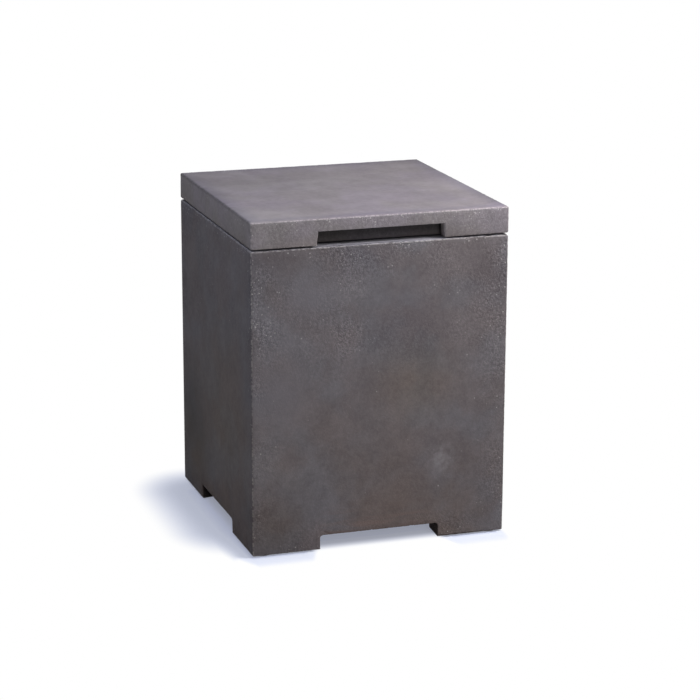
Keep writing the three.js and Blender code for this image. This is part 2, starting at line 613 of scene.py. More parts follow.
    def _open_sand(self) -> Socket:
        """Finds where the cement film has gone and the sand shows.

        It shows in patches, more of them high up, where hands and weather reach, and beside the arrises.

        Returns:
            A mask from zero to one.
        """
        upper = self.overlap(self._up(self.open_shares), self.open_above)
        both = self.add("Math", (self._near_arris(self.open_beside_mm), self.open_beside, upper), TIMES_PLUS)
        kept = self.add("Mix", (self._patches(self.opened), self.open_between, 1.0))
        return self.add("Math", (both, kept, self.open_everywhere), {**TIMES_PLUS, "use_clamp": True})

    def _base_colour(self, clouds: Socket) -> Socket:
        """Mixes the bluish film and the browner sand, both uneven over a hand's width.

        Args:
            clouds: the mask of the clouds in the cement.

        Returns:
            The colour.
        """
        colour = self.add("Mix", (self._patches(self.sandy), self.film, self.sand), COVER)
        low_down = self._up(self.warm_shares)
        lower = self.add("Math", (low_down, self.warm_low_down, self.warm_everywhere), TIMES_PLUS)
        colour = self.add("Mix", (self.overlap(self._patches(self.warmed), lower), colour, self.warm), COVER)
        both = self.add("Math", (clouds, self._patches(self.mottled)), PLUS)
        shade = self.add("MapRange", (both, 0.0, 2.0, *self.shades))
        return self.add("Mix", (1.0, colour, shade), TINT)

    def _specks(self, open_sand: Socket) -> Socket:
        """Scatters pale grains of sand, each in a cell of its own, most of the cells empty.

        Args:
            open_sand: the mask of where the sand shows, which has more of them.

        Returns:
            A mask that is one on a pale grain, and fainter away from the arrises.
        """
        cells = self.add("TexVoronoi", {"Vector": self.place, "Scale": per_metre(self.speck_mm)}).node.outputs
        draw = self.add("SeparateColor", (cells["Color"],)).node.outputs
        radius = self.add("Mix", (draw[1], *self.speck_radii))
        dot = self.add("MapRange", (cells["Distance"], self.speck_core, radius, 1.0, 0.0), SMOOTH)
        beside = self._near_arris(self.speck_beside_mm)
        bare = self.overlap(open_sand, self._patches(self.clusters))
        limit = self.add("MapRange", (bare, self.cluster_from, 1.0, 1.0, self.cluster_limit))
        handled = self.add("Mix", (self._up(self.handled_shares), *self.handled))
        lower = self.overlap(beside, open_sand, handled, self.crowded)
        limit = self.add("Math", (limit, lower), MINUS)
        drawn = self.add("Math", (draw[0], limit), {"operation": "GREATER_THAN"})
        return self.overlap(dot, drawn, self.add("Mix", (beside, *self.speck_strength)))

    def _rubbed(self) -> Socket:
        """Finds where the arrises are rubbed pale, in broken strokes, a little less so low down.

        Returns:
            A mask from zero to one.
        """
        strength = self.add("Mix", (self._up((0.0, 1.0)), *self.worn_strength))
        return self.overlap(self._near_arris(self.worn_mm), self._patches(self.strokes), strength)

    def _closed_film(self) -> Socket | float:
        """Finds where a tool has closed the surface, which this finish leaves nowhere."""
        return 0.0

    def _marks(self, colour: Socket, clouds: Socket) -> Socket:
        """Adds the marks of this casting alone, which the plain finish has none of."""
        return colour

    def surface(self) -> Socket:
        """Draws the film, the sand in it, the pale grains and rubbed arrises, the marks and the relief.

        Returns:
            The shader.
        """
        # Painted shade: the left wall, which lies in shade, shows less bared sand, so it has fewer pale
        # grains and less lightening
        past_left = self._along(Way.RIGHT, -self.half_width, self.left_wall)
        open_sand = self.overlap(self._open_sand(), self.add("Mix", (past_left, self.left_sand_in_shade, 1.0)))
        roughness = self.add("Mix", (open_sand, *self.roughness))
        closed = self._closed_film()
        left = self.add("Math", (closed, -self.closed_share, 1.0), TIMES_PLUS)
        open_sand = self.overlap(open_sand, left)
        satin = self.add("Mix", (self._patches(self.smeared), *self.satin))
        roughness = self.add("Mix", (closed, roughness, satin))
        clouds = self._patches(self.cloudy)

        # Sand grains are finer than the picture can show, so they are drawn in clusters of a few millimetres
        noise = self.add(
            "TexNoise",
            {"Vector": self.place, "Scale": per_metre(self.grain_mm), "Detail": 2.0, "Roughness": 0.75},
        )
        pitted = self.add("MapRange", (noise, *self.grain_noise, *self.grain_light))
        lighter = self.add("Math", (pitted, open_sand, 1.0), TIMES_PLUS)
        colour = self.add("Mix", (1.0, self._base_colour(clouds), lighter), TINT)
        colour = self.add("Mix", (self._specks(open_sand), colour, self.pale_grain), COVER)
        colour = self.add("Mix", (self._rubbed(), colour, self.worn), COVER)
        colour = self._marks(colour, clouds)

        grains = self.add("MapRange", (noise, *self.grain_relief), SMOOTH)
        strength = self.add("Mix", (open_sand, *self.grit_strength))
        gritty = self.add("Bump", {"Strength": strength, "Distance": self.grit, "Height": grains})
        uneven = self.add(
            "Bump",
            {"Strength": self.wave_strength, "Distance": self.waves, "Height": clouds, "Normal": gritty},
        )
        return self.add(
            "BsdfPrincipled",
            {"Base Color": colour, "Roughness": roughness, "IOR": self.ior, "Specular IOR Level": self.gloss,
             "Normal": uneven},
        )


@dataclass(frozen=True)
class RawRimConcrete(CastConcrete):
    """Cast concrete whose rim was left raw when the mould was struck off: pale, dry cement.

    Handling has bared the sand of the front in a few spots and left a chalky scuff low down, stains and
    painted shade darken the low back of two walls, and the mould dragged brownish streaks across the foot of
    each wall.
    Painted shade also darkens the faces inside the notches and the raw rim under the lid.
    """

    bared: Spots = (
        (-0.200, -0.216, 0.455, 0.050), (-0.208, -0.216, 0.370, 0.075), (0.190, -0.216, 0.395, 0.085),
        (-0.060, -0.216, 0.360, 0.075), (-0.030, -0.216, 0.488, 0.025), (0.120, -0.216, 0.470, 0.030),
        (0.200, -0.216, 0.470, 0.045),
    )
    broken: Pattern = Pattern(22.0, 71.0, 0.30, 0.58)
    sealed: Spots = ((0.050, -0.216, 0.425, 0.120), (-0.125, -0.216, 0.425, 0.045))
    sealed_open: float = 0.3
    # Stains and painted shade: darker low at the back of the left wall and on the back wall, where the
    # shadowed floor sends little light up
    stains_and_shade: Blots = Blots(((-0.216, 0.155, 0.125, 0.165), (0.120, 0.216, 0.060, 0.110)), "#a2a2a5")
    browned: Blots = Blots(
        ((-0.216, -0.060, 0.170, 0.270), (-0.216, 0.100, 0.040, 0.180), (-0.180, -0.216, 0.050, 0.090),
         (0.060, -0.216, 0.270, 0.110)),
        "#fff9ee",
    )
    hazed: Blots = Blots(
        ((-0.175, -0.216, 0.265, 0.105), (-0.120, -0.216, 0.425, 0.070)), "#6d6b71", share=0.55, covers=True
    )
    dimmed: Blots = Blots(
        ((0.045, -0.216, 0.365, 0.100), (-0.040, -0.216, 0.500, 0.080), (-0.190, -0.216, 0.500, 0.080),
         (0.200, -0.216, 0.445, 0.090), (-0.180, -0.216, 0.030, 0.120)),
        "#e8e7e9",
    )
    scuffed: Blots = Blots(((0.106, -0.216, 0.138, 0.036),), "#8f8c8f", share=0.55, covers=True)
    chalky: Pattern = Pattern(9.0, 77.0, 0.30, 0.70)
    drag: str = "#72635f"
    dragged: Pattern = Pattern(10.0, 83.0, 0.40, 0.62)
    drag_stretch: tuple[float, float, float] = (0.12, 0.12, 1.0)
    drag_heights: Pair = (80 * MM, 28 * MM)
    drag_ends: Pair = (120 * MM, 72 * MM)
    drag_share: float = 0.7
    notch_depths: Pair = (-1 * MM, -3.5 * MM)
    notch_heights: Pair = (40 * MM, 24 * MM)
    # Painted shade inside the notches: the share of colour it leaves
    notch_shade_share: float = 0.35
    raw: str = "#b4b1b9"
    rim_heights: Pair = (-0.6 * MM, -0.08 * MM)
    slot_half: float = SLOT_HALF
    slot_ends: Pair = (-8 * MM, 22 * MM)
    pale_slot_depths: Pair = (12 * MM, 40.8 * MM)
    lid_depths: Pair = (-1.6 * MM, -3.2 * MM)
    # Painted shade on the raw rim under the lid, which darkens the seam: the share of colour it leaves
    rim_shadow_share: float = 0.42
    rim_shades: Pair = (0.92, 1.05)

    def _open_sand(self) -> Socket:
        """Finds where the sand shows, in the bared spots too but less in the sealed ones.

        Returns:
            A mask from zero to one.
        """
        bared = self.overlap(self._spots(self.bared), self._patches(self.broken))
        left = self.add("Mix", (self._spots(self.sealed), 1.0, self.sealed_open))
        return self.add("Math", (bared, self.overlap(super()._open_sand(), left)), MOST)

    def _dragged(self) -> Socket:
        """Finds the long low streaks across the foot of a wall.

        Returns:
            A mask from zero to one.
        """
        drawn = self.add("VectorMath", (self.place, self.drag_stretch), TIMES)
        low = self._along(Way.UP, self.bottom, self.drag_heights)
        middle = self._along(Way.ASIDE, 0.0, self.drag_ends)
        return self.overlap(self._patches(self.dragged, drawn), low, middle, self.drag_share)

    def _painted_shade_under(self) -> Socket:
        """Finds the painted shade on the faces inside the walls low down, in and under the notches.

        Returns:
            What the colour is multiplied by, one on the outside of the walls.
        """
        inside = self._along(Way.OUT, self.half_width, self.notch_depths)
        low = self._along(Way.UP, self.bottom, self.notch_heights)
        return self.add("Mix", (self.overlap(inside, low), 1.0, self.notch_shade_share))

    def _rim_shade(self, clouds: Socket) -> Socket:
        """Finds how light the raw rim is: pale in the finger slot, and darker with painted shade where the
        lid covers it.

        Args:
            clouds: the mask of the clouds in the cement.

        Returns:
            What the rim's colour is multiplied by.
        """
        aside = self._along(Way.ASIDE, self.slot_half, self.slot_ends)
        behind = self._along(Way.BACK, -self.half_width, self.pale_slot_depths)
        out_of_slot = self.add("Math", (aside, behind), MOST)
        under_lid = self._along(Way.OUT, self.half_width, self.lid_depths)
        kept = self.add("Mix", (self.overlap(out_of_slot, under_lid), 1.0, self.rim_shadow_share))
        return self.overlap(self.add("Mix", (clouds, *self.rim_shades)), kept)

    def _marks(self, colour: Socket, clouds: Socket) -> Socket:
        """Adds the stains and painted shade, the painted shade in the notches, the streaks, the scuff and the
        raw rim.

        Args:
            colour: the colour so far.
            clouds: the mask of the clouds in the cement.

        Returns:
            The colour with the marks.
        """
        # The blots, among them stains with painted shade
        colour = self._blotted(colour, self.stains_and_shade, self.browned, self.hazed, self.dimmed)
        # Painted shade inside the notches
        colour = self.add("Mix", (1.0, colour, self._painted_shade_under()), TINT)
        colour = self.add("Mix", (self._dragged(), colour, self.drag), COVER)
        colour = self._blotted(colour, self.scuffed, where=self._patches(self.chalky))
        # The raw rim, with painted shade under the lid
        raw = self.add("Mix", (1.0, self.raw, self._rim_shade(clouds)), TINT)
        return self.add("Mix", (self._along(Way.UP, self.top, self.rim_heights), colour, raw), COVER)


@dataclass(frozen=True)
class TrowelledConcrete(CastConcrete):
    """Cast concrete, its top trowelled: satin and cloudy, darker along the arrises, with painted light and
    shade.
    """

    seed: float = 60.0
    film: str = "#797378"
    sand: str = "#777273"
    warm: str = "#756e6e"
    worn: str = "#a8a1a0"
    open_everywhere: float = 0.36
    open_above: float = 0.0
    open_beside: float = 0.2
    gloss: float = 0.12
    trowelled: str = "#eee9ee"
    trowelled_heights: Pair = (-2.2 * MM, -0.6 * MM)
    dull: Blots = Blots(((-0.130, 0.090, 0.550, 0.170), (0.140, -0.105, 0.550, 0.060)), "#ebebec")
    chalked: Blots = Blots(
        ((-0.195, -0.195, 0.550, 0.110), (0.205, -0.020, 0.550, 0.085)), "#948e8f", share=0.35, covers=True
    )
    # Painted shade: the top turns darker and bluer within 38 mm of its back and side arrises
    top_edge_shade: str = "#dcdde8"
    top_edge_shade_mm: float = 38.0
    # The top's back and side arrises are darker, in a line a few millimetres wide
    dark_arris: float = 0.36
    dark_arris_mm: float = 5.5
    arris_heights: Pair = (-7 * MM, -4 * MM)
    behind_front: Pair = (3 * MM, 14 * MM)
    # Painted light: the front strip of the top is made lighter, as the lamps' light grows towards the front
    band: float = 1.12
    front_light_depths: Pair = (62 * MM, 12 * MM)
    slot_half: float = SLOT_HALF
    slot_roof: float = 529.5 * MM
    slot_back: float = -190 * MM
    slot_back_round: Pair = (-16 * MM, -3 * MM)
    slot_round_half: Pair = (-4.4 * MM, 2 * MM)
    slot_side: Pair = (-1 * MM, 1 * MM)
    slot_depths: Pair = (2 * MM, 10 * MM)
    slot_slack: float = 2 * MM
    # Painted shade in the finger slot: the share of colour it leaves low down and high under the roof
    slot_lit_share_low: float = 0.36
    slot_lit_share_high: float = 0.16
    slot_shade_below: float = 9 * MM
    # Painted light on the ends of the slot's mouth
    end_light: float = 1.5
    end_light_depths: Pair = (0.0, 3 * MM)
    lip: str = "#b5adac"
    lip_mm: float = 2.3
    lip_depths: Pair = (3.2 * MM, 2.2 * MM)
    lip_strokes: Pattern = Pattern(19.0, 91.0, 0.38, 0.62)
    lip_strength: Pair = (0.05, 0.36)

    def _closed_film(self) -> Socket:
        """Finds the trowelled top."""
        return self._along(Way.UP, self.top, self.trowelled_heights)

    def _slot_light_and_shade(self) -> Socket:
        """Finds the painted shade deep in the finger slot, and the painted light on the ends of its mouth.

        Returns:
            What the colour is multiplied by.
        """
        _, back, up, across, *_ = self.ways
        round_from, round_to = (self.slot_back + reach for reach in self.slot_back_round)
        narrow, wide = (self.slot_half + reach for reach in self.slot_round_half)
        limit = self.add("MapRange", (back, round_from, round_to, narrow, wide))
        short_of = self.add("Math", (limit, across), MINUS)
        between = self.add("MapRange", (short_of, *self.slot_side), SMOOTH)
        before = self.add("Math", (back, self.slot_back + self.slot_slack), BELOW)
        under = self.add("Math", (up, self.slot_roof + MM), BELOW)

        # Painted shade, deeper towards the slot's roof
        depth = self.add("MapRange", (up, self.bottom, self.slot_roof - self.slot_shade_below), SMOOTH)
        slot_darkening = self.add("Mix", (depth, 1.0 - self.slot_lit_share_low, 1.0 - self.slot_lit_share_high))
        inside = self._along(Way.BACK, -self.half_width, self.slot_depths)
        slot_shading = self.add("Math", (1.0, self.overlap(slot_darkening, between, inside, before, under)), MINUS)

        beyond = self.add("Math", (1.0, between), MINUS)
        near = self.add("Math", (across, self.slot_half + self.slot_slack), BELOW)
        entered = self._along(Way.BACK, -self.half_width, self.end_light_depths)
        end = self.overlap(beyond, near, entered, before, under)
        return self.overlap(slot_shading, self.add("Mix", (end, 1.0, self.end_light)))

    def _marks(self, colour: Socket, clouds: Socket) -> Socket:
        """Adds the dark arrises, the painted light along the front of the top, the slot's painted shade and
        light and the pale broken line on the lip.

        Args:
            colour: the colour so far.
            clouds: the mask of the clouds in the cement.

        Returns:
            The colour with the marks.
        """
        front = -self.half_width
        on_top = self._closed_film()
        upper = self._along(Way.UP, self.top, self.arris_heights)
        behind = self._along(Way.BACK, front, self.behind_front)
        dark_arris = self.overlap(self._near_arris(self.dark_arris_mm), upper, behind)
        darker = self.add("Mix", (dark_arris, 1.0, self.dark_arris))
        # Painted light along the front of the top
        band = self.overlap(self._along(Way.BACK, front, self.front_light_depths), on_top)
        lighter = self.add("Mix", (band, 1.0, self.band))
        # Includes the slot's painted shade and light
        shade = self.overlap(darker, lighter, self._slot_light_and_shade())
        colour = self.add("Mix", (1.0, colour, shade), TINT)
        colour = self.add("Mix", (on_top, colour, self.trowelled), TINT)
        colour = self._blotted(colour, self.dull, self.chalked, where=on_top)
        # Painted shade towards the back and sides of the top
        edge = self.overlap(self._near_arris(self.top_edge_shade_mm), on_top, behind)
        colour = self.add("Mix", (edge, colour, self.top_edge_shade), TINT)
        ahead = self._along(Way.BACK, front, self.lip_depths)
        strength = self.add("Mix", (self._patches(self.lip_strokes), *self.lip_strength))
        line = self.overlap(self._near_arris(self.lip_mm), ahead, upper, strength)
        return self.add("Mix", (line, colour, self.lip), COVER)


@dataclass(frozen=True)
class MouldedRubber(Finish):
    """Black EPDM rubber, moulded: almost black, dull, with a faint bloom that lifts it in patches."""

    name: str = "epdm_rubber"
    black: str = "#1a1a1b"
    bloom: str = "#2b2b2d"
    bloom_mm: float = 5.0
    dullness: float = 0.78
    ior: float = 1.52
    relief: float = 0.1 * MM
    relief_strength: float = 0.3

    def surface(self) -> Socket:
        """Draws the bloom and the fine relief on the black rubber.

        Returns:
            The shader.
        """
        noise = self.add("TexNoise", {"Vector": self.place, "Scale": per_metre(self.bloom_mm), "Detail": 3.0})
        colour = self.add("Mix", (noise, self.black, self.bloom), COVER)
        bump = self.add("Bump", {"Strength": self.relief_strength, "Distance": self.relief, "Height": noise})
        return self.add(
            "BsdfPrincipled",
            {"Base Color": colour, "Roughness": self.dullness, "IOR": self.ior, "Normal": bump},
        )


@dataclass
class CastPiece:
    """A concrete casting, modelled from one block in the box of the part that it stands for.

    Its roundings take the edges that are sharper than sharp_from, in degrees, and its wear needs edges longer
    than long_edge to be divided into steps.
    """

    part: Casting
    work: Workpiece
    inner_corner: float
    wears: tuple[Wear, ...]
    corner: float = 3 * MM
    support: float = 8 * MM
    spreads: Pair = (1.0, 1.6)
    step: float = 3 * MM
    long_edge: float = 300 * MM
    overrun: float = 14 * MM
    worn_band: float = 7 * MM
    sharp_from: float = 35.0
    outside_share: float = 0.35
    rounding_share: float = 1.2

    @cached_property
    def low(self) -> Vector:
        """The lowest corner of the part's box."""
        return Vector(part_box(self.part.value)[0])

    @cached_property
    def high(self) -> Vector:
        """The highest corner of the part's box."""
        return Vector(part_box(self.part.value)[1])

    @property
    def foot(self) -> float:
        """The height at which the outside walls begin."""
        return self.low.z

    def _near_wall(self, point: Vector, depth: float) -> bool:
        """Whether a point is on the outside walls or at most this deep behind them."""
        return max(abs(point.x), abs(point.y)) > self.high.x - depth and point.z > self.foot - TINY

    def _outside(self, *points: Vector) -> bool:
        """Whether all of these points are on the outside walls."""
        return all(self._near_wall(point, self.corner * self.outside_share) for point in points)

    def _on_wall(self, centre: Vector, normal: Vector) -> bool:
        """Whether a face is on an outside wall or on one of its rounded edges."""
        return self._near_wall(centre, self.corner * self.rounding_share)

    def _round_plan(self) -> None:
        """Rounds the upright corners, outside and inside."""
        edge = self.high.x
        self.work.round_edges(
            lambda a, b: min(abs(a.x), abs(a.y), abs(b.x), abs(b.y)) > edge - TINY, self.corner, 5
        )
        self.work.round_edges(
            lambda a, b: abs(a.z - b.z) > MM
            and max(abs(a.x), abs(b.x)) < edge - self.corner - MM
            and max(abs(abs(a.x) - abs(a.y)), abs(abs(b.x) - abs(b.y))) < TINY,
            self.inner_corner, 5,
        )

    def _round_top(self, radius: float, segments: int) -> None:
        """Rounds the outer edge of the top.

        Args:
            radius: the rounding's radius.
            segments: how many flats it is made of.
        """
        self.work.round_edges(
            lambda a, b: min(a.z, b.z) > self.high.z - TINY and self._outside(a, b),
            radius, segments, self.sharp_from,
        )

    def _divide_level(self, axis: int, above: float, tilt: float) -> None:
        """Divides the long level edges of the strips beside the walls.

        Args:
            axis: nought for edges along x, one for edges along y.
            above: the height above which they are divided.
            tilt: how much higher one end may be than the other.
        """
        band_in = self.high.x - self.corner - self.support - MM
        self.work.ladder(
            lambda a, b: abs(a[axis] - b[axis]) > self.long_edge and min(a.z, b.z) > above
            and abs(a.z - b.z) < tilt
            and abs(a[1 - axis] - b[1 - axis]) < TINY and abs(a[1 - axis]) > band_in,
            self.step,
        )

    def _wear_edges(self) -> None:
        """Wears the arrises and closes the mesh."""
        self.work.mark_arrises(lambda point: self._near_wall(point, self.worn_band))
        for wear in self.wears:
            self.work.wear(wear)
        self.work.finish()

    def _coat(self, finish: CastConcrete) -> bpy.types.Object:
        """Gives the casting its finish.

        Args:
            finish: the finish.

        Returns:
            The casting's piece.
        """
        piece = self.work.piece
        piece.data.materials.clear()
        piece.data.materials.append(finish.build())
        log.info("%s: %d faces, %s", piece.name, len(piece.data.polygons), finish.name)
        return piece


@dataclass
class Shell(CastPiece):
    """The concrete shell: a thin skin between a rim band and a base band, on four feet."""

    part: Casting = Casting.SHELL
    work: Workpiece = field(default_factory=lambda: Workpiece("concrete_shell"))
    inner_corner: float = 14 * MM
    wears: tuple[Wear, ...] = (Wear(0.3 * MM, 6 * MM, 0.30, 0.60), Wear(1.2 * MM, 9 * MM, 0.25, 0.32))
    band: float = 42 * MM
    rim_band: float = 38 * MM
    base_band: float = 70 * MM
    run_out: float = 26 * MM
    rim_arris: float = 1.8 * MM
    foot_arris: float = 2 * MM
    mouth_arris: float = 1.5 * MM
    notch_half_widths: Pair = (101.5 * MM, 93.5 * MM)
    notch_height: float = 24 * MM
    notch_round: float = 5 * MM
    bumper_seat: Pair = (10.3 * MM, 1.5 * MM)
    pad_seat: Pair = (16.3 * MM, 3 * MM)
    foot_edges: tuple[Pair, ...] = ((60 * MM, 130 * MM), (130 * MM, 260 * MM))
    lip_band: float = 4 * MM

    def build(self) -> None:
        """Models the shell from one block."""
        self._hollow_out()
        self._round_plan()
        self._cut_notches()
        self._cut_seats()
        self._round_arrises()
        self._divide_edges()
        self._wear_edges()

    def _hollow_out(self) -> None:
        """Sinks the hollow through the block, narrow at both bands and wide between them."""
        work, low, high = self.work, self.low, self.high
        work.start_block(low, high)
        opening = high.x - self.band
        widen = (opening + self.run_out) / opening
        middle = high.z - low.z - self.rim_band - self.base_band - 2 * self.run_out
        work.choose_faces(lambda c, n: n.z > FACING)
        bpy.ops.mesh.inset(thickness=self.band)
        work.extrude(-self.rim_band)
        work.extrude(-self.run_out, widen)
        work.extrude(-middle)
        work.extrude(-self.run_out, 1 / widen)
        work.extrude(-self.base_band)
        bpy.ops.mesh.delete(type="ONLY_FACE")
        work.choose_faces(lambda c, n: n.z < -FACING and c.z < low.z + TINY)
        bpy.ops.mesh.inset(thickness=self.band)
        bpy.ops.mesh.delete(type="ONLY_FACE")
        bpy.ops.mesh.select_all(action="SELECT")
        bpy.ops.mesh.remove_doubles(threshold=TINY)

    def _cut_notches(self) -> None:
        """Cuts the notches that leave the four feet, front to back and side to side."""
        roof = self.low.z + self.notch_height
        reach = self.high.x + self.overrun
        for turned, half in enumerate(self.notch_half_widths):
            size = Vector((reach, half, 0)) if turned else Vector((half, reach, 0))
            cutter = Workpiece(f"notch_cutter_{turned}")
            foot = self.low.z - self.overrun
            cutter.start_block(Vector((-size.x, -size.y, foot)), Vector((size.x, size.y, roof)))
            along = 1 - turned
            cutter.round_edges(
                lambda a, b: min(a.z, b.z) > roof - TINY and abs(a[along] - b[along]) > reach,
                self.notch_round, 4,
            )
            deselect_all()
            self.work.cut_with(cutter)

    def _cut_seats(self) -> None:
        """Sinks the round seats of the bumpers in the rim and of the pads under the feet."""
        middle = self.high.x - self.band / 2
        seats = ((self.bumper_seat, self.high.z, 1), (self.pad_seat, self.low.z, -1))
        for sign_x in (-1, 1):
            for sign_y in (-1, 1):
                for (radius, depth), face, up in seats:
                    height = depth + self.overrun
                    centre = face - up * depth + up * height / 2
                    cutter = Workpiece("seat_cutter")
                    cutter.start_disc(Vector((sign_x * middle, sign_y * middle, centre)), radius, height)
                    self.work.cut_with(cutter)

    def _round_arrises(self) -> None:
        """Rounds the lips of the notches, the outline of the feet, the rim and the mouth."""
        work, low, high = self.work, self.low, self.high
        front, side = self.notch_half_widths
        opening = high.x - self.band
        work.round_edges(
            lambda a, b: max(a.z, b.z) < low.z + TINY
            and (
                (max(abs(abs(a.x) - front), abs(abs(b.x) - front)) < TINY and abs(a.y - b.y) > MM)
                or (max(abs(abs(a.y) - side), abs(abs(b.y) - side)) < TINY and abs(a.x - b.x) > MM)
            ),
            self.notch_round, 4,
        )
        work.round_edges(
            lambda a, b: max(a.z, b.z) < low.z + self.notch_height + MM and self._outside(a, b),
            self.foot_arris, 3, self.sharp_from,
        )
        self._round_top(self.rim_arris, 5)
        work.round_edges(
            lambda a, b: min(a.z, b.z) > high.z - TINY
            and max(abs(a.x), abs(a.y), abs(b.x), abs(b.y)) < opening + TINY,
            self.mouth_arris, 2, self.sharp_from,
        )

    def _divide_edges(self) -> None:
        """Frames each wall with a narrow strip, and divides the strips and the arrises for their wear."""
        work, wall = self.work, self.high.x
        shoulder = self.high.z - self.rim_arris
        ankle = self.low.z + self.notch_height
        low_enough = ankle + self.support
        for spread in self.spreads:
            margin = self.support * spread
            for height in (shoulder - margin, ankle + margin):
                work.slice(self._on_wall, UP * height, UP)
            for axis in (0, 1):
                normal = Vector((1 - axis, axis, 0))
                for sign in (-1, 1):
                    work.slice(self._on_wall, normal * sign * (wall - self.corner - margin), normal)
                    beside = normal * sign * (self.notch_half_widths[axis] + margin)
                    work.slice(lambda c, n: self._on_wall(c, n) and c.z < low_enough, beside, normal)

        band_in = wall - self.corner - self.support - MM
        work.ladder(
            lambda a, b: abs(a.z - b.z) > self.long_edge and (a.xy - b.xy).length < TINY
            and max(abs(a.x), abs(a.y)) > band_in,
            self.step,
        )
        for axis in (0, 1):
            self._divide_level(axis, shoulder - self.support - MM, self.rim_arris)
            for shortest, longest in self.foot_edges:
                work.ladder(
                    lambda a, b: shortest < abs(a[axis] - b[axis]) < longest and abs(a.z - b.z) < TINY
                    and max(a.z, b.z) < low_enough + MM
                    and abs(a[1 - axis] - b[1 - axis]) < TINY and abs(a[1 - axis]) > wall - self.lip_band,
                    self.step,
                )

    def dress(self, finish: CastConcrete) -> None:
        """Gives the shell its finish and its place in the model.

        Args:
            finish: the shell's concrete.
        """
        piece = self._coat(finish)
        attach(piece, "shell_body")
        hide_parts(Casting.SHELL.value)


